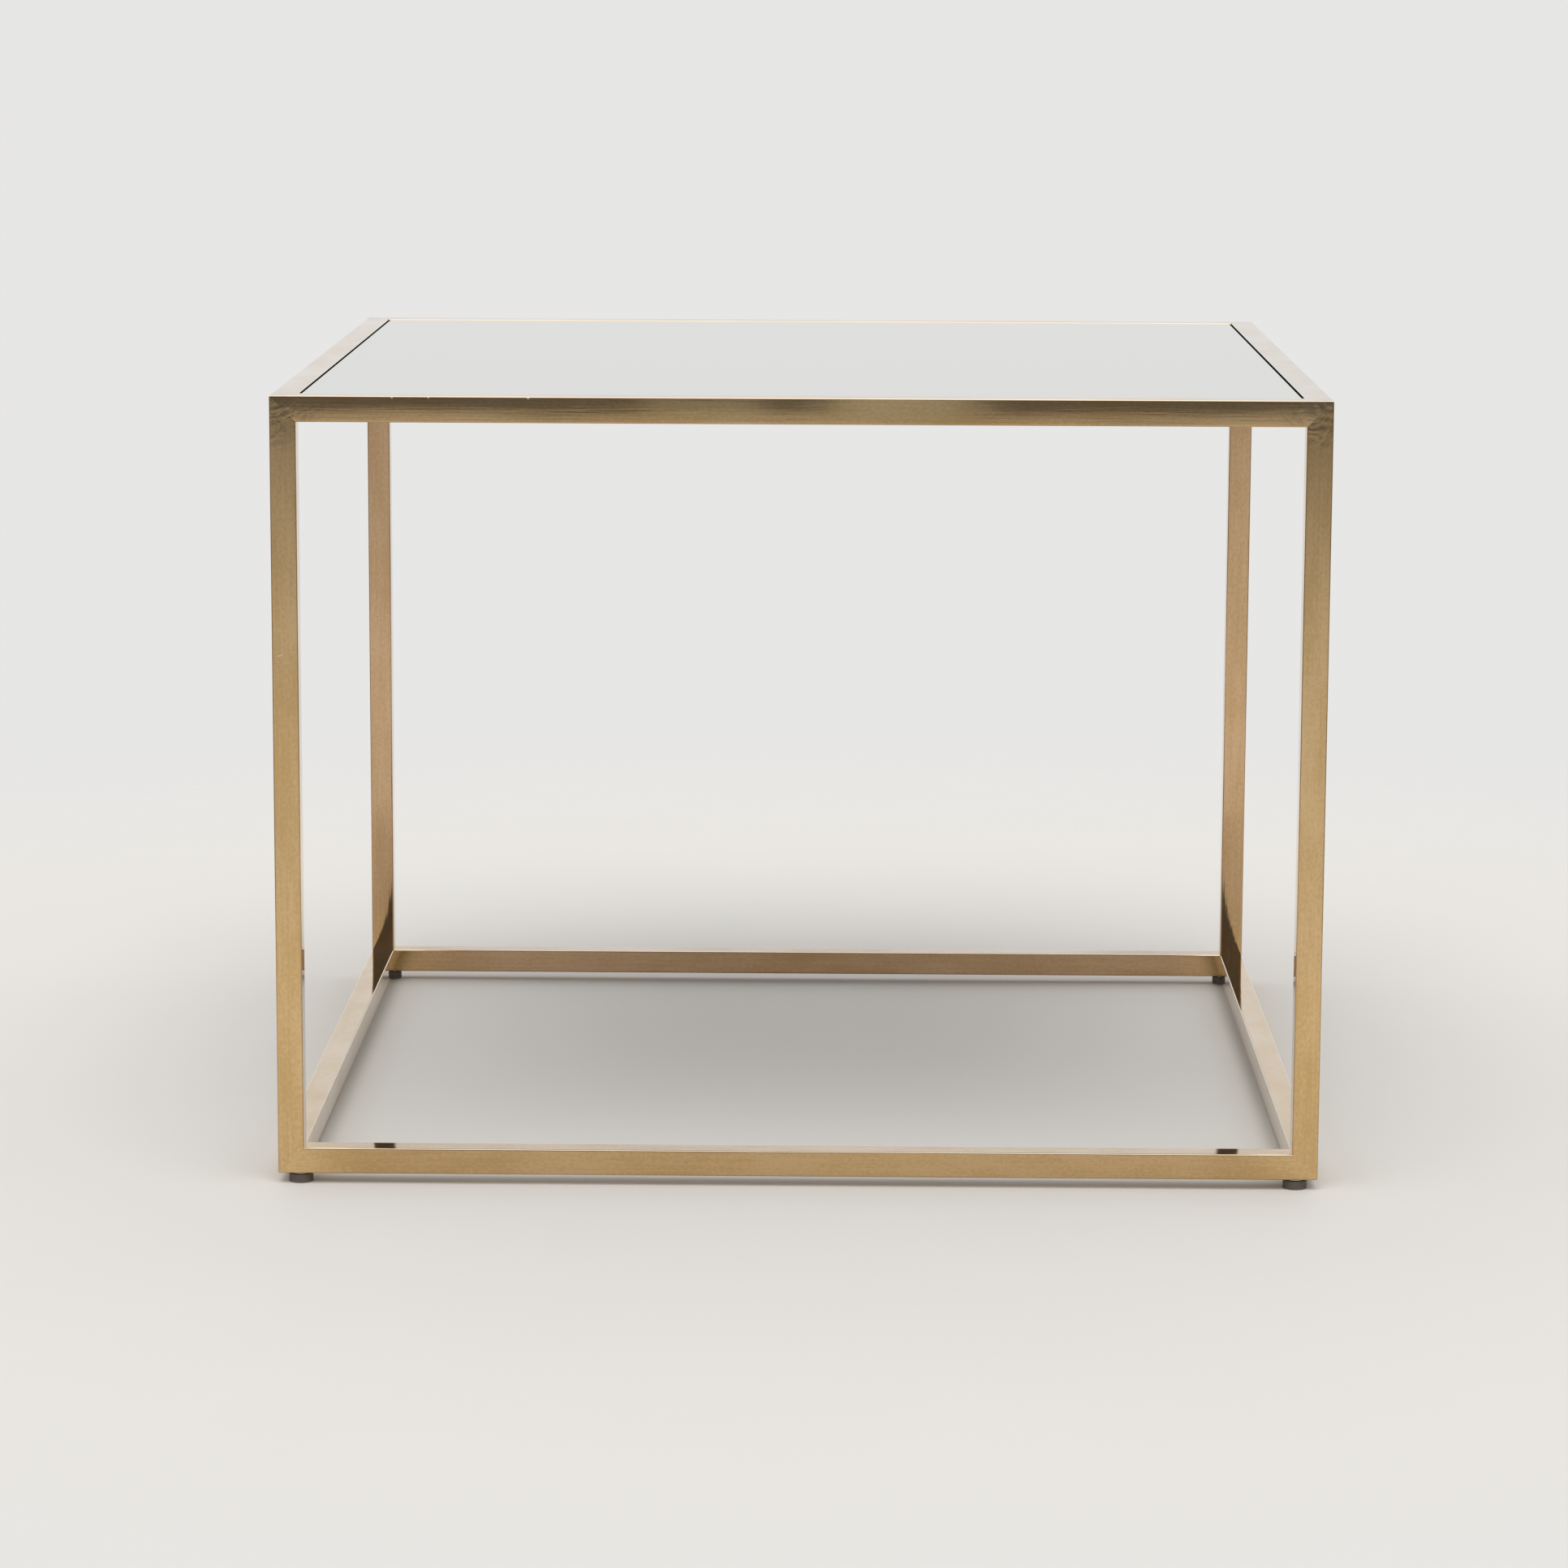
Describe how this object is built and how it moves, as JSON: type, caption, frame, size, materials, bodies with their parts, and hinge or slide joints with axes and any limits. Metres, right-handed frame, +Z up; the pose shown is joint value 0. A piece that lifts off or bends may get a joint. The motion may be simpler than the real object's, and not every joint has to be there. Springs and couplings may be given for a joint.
{
  "type": "side table",
  "caption": "Square side table: an open cube frame of polished square tube with a mirror laid into its top, on screw-in levelling feet.",
  "frame": {"origin": "on the floor, below the centre of the table", "axes": "+Z up; the front faces -Y; +X is to the right of someone who looks at the front"},
  "size_m": [0.6, 0.6, 0.456],
  "materials": {
    "polished_brass": "mirror polished, welds ground flush",
    "ledge_brass": "brushed",
    "mirror_glass": "clear float glass with a faint green tint, polished edges",
    "mirror_silver": "silvered, with protective paint behind",
    "clear_silicone": "soft, translucent",
    "insert_steel": "zinc plated",
    "screw_steel": "zinc plated",
    "glide_plastic": "dark grey, moulded"
  },
  "bodies": {
    "frame": {"front_bottom_rail": "polished_brass", "front_right_leg": "polished_brass", "front_top_rail": "polished_brass", "front_left_leg": "polished_brass", "rear_bottom_rail": "polished_brass", "rear_right_leg": "polished_brass", "rear_top_rail": "polished_brass", "rear_left_leg": "polished_brass", "left_bottom_rail": "polished_brass", "left_top_rail": "polished_brass", "right_bottom_rail": "polished_brass", "right_top_rail": "polished_brass", "front_ledge": "ledge_brass", "rear_ledge": "ledge_brass", "left_ledge": "ledge_brass", "right_ledge": "ledge_brass", "ledge_bumpers": "clear_silicone", "front_left_foot_insert": "insert_steel", "front_right_foot_insert": "insert_steel", "rear_left_foot_insert": "insert_steel", "rear_right_foot_insert": "insert_steel"},
    "mirror": {"mirror_glass": "mirror_glass", "mirror_backing": "mirror_silver"},
    "front_left_glide": {"front_left_foot_pad": "glide_plastic"},
    "front_left_screw": {"front_left_foot_screw": "screw_steel"},
    "front_right_glide": {"front_right_foot_pad": "glide_plastic"},
    "front_right_screw": {"front_right_foot_screw": "screw_steel"},
    "rear_left_glide": {"rear_left_foot_pad": "glide_plastic"},
    "rear_left_screw": {"rear_left_foot_screw": "screw_steel"},
    "rear_right_glide": {"rear_right_foot_pad": "glide_plastic"},
    "rear_right_screw": {"rear_right_foot_screw": "screw_steel"}
  },
  "joints": [
    {"name": "mirror_lift", "type": "slide", "parent": "frame", "child": "mirror", "axis": [0, 0, 1], "range_m": [0, 0.1]},
    {"name": "front_left_level", "type": "slide", "parent": "frame", "child": "front_left_glide", "axis": [0, 0, -1], "range_m": [0, 0.006]},
    {"name": "front_left_screw_turn", "type": "hinge", "parent": "front_left_glide", "child": "front_left_screw", "pos_m": [-0.2875, -0.2925, 0], "axis": [0, 0, -1], "range_deg": [0, 2161]},
    {"name": "front_right_level", "type": "slide", "parent": "frame", "child": "front_right_glide", "axis": [0, 0, -1], "range_m": [0, 0.006]},
    {"name": "front_right_screw_turn", "type": "hinge", "parent": "front_right_glide", "child": "front_right_screw", "pos_m": [0.2875, -0.2925, 0], "axis": [0, 0, -1], "range_deg": [0, 2161]},
    {"name": "rear_left_level", "type": "slide", "parent": "frame", "child": "rear_left_glide", "axis": [0, 0, -1], "range_m": [0, 0.006]},
    {"name": "rear_left_screw_turn", "type": "hinge", "parent": "rear_left_glide", "child": "rear_left_screw", "pos_m": [-0.2875, 0.2925, 0], "axis": [0, 0, -1], "range_deg": [0, 2161]},
    {"name": "rear_right_level", "type": "slide", "parent": "frame", "child": "rear_right_glide", "axis": [0, 0, -1], "range_m": [0, 0.006]},
    {"name": "rear_right_screw_turn", "type": "hinge", "parent": "rear_right_glide", "child": "rear_right_screw", "pos_m": [0.2875, 0.2925, 0], "axis": [0, 0, -1], "range_deg": [0, 2161]}
  ],
  "couplings": [
    {"joint": "front_left_screw_turn", "follows": "front_left_level", "rad_per_m": 6283.2},
    {"joint": "front_right_screw_turn", "follows": "front_right_level", "rad_per_m": 6283.2},
    {"joint": "rear_left_screw_turn", "follows": "rear_left_level", "rad_per_m": 6283.2},
    {"joint": "rear_right_screw_turn", "follows": "rear_right_level", "rad_per_m": 6283.2}
  ]
}
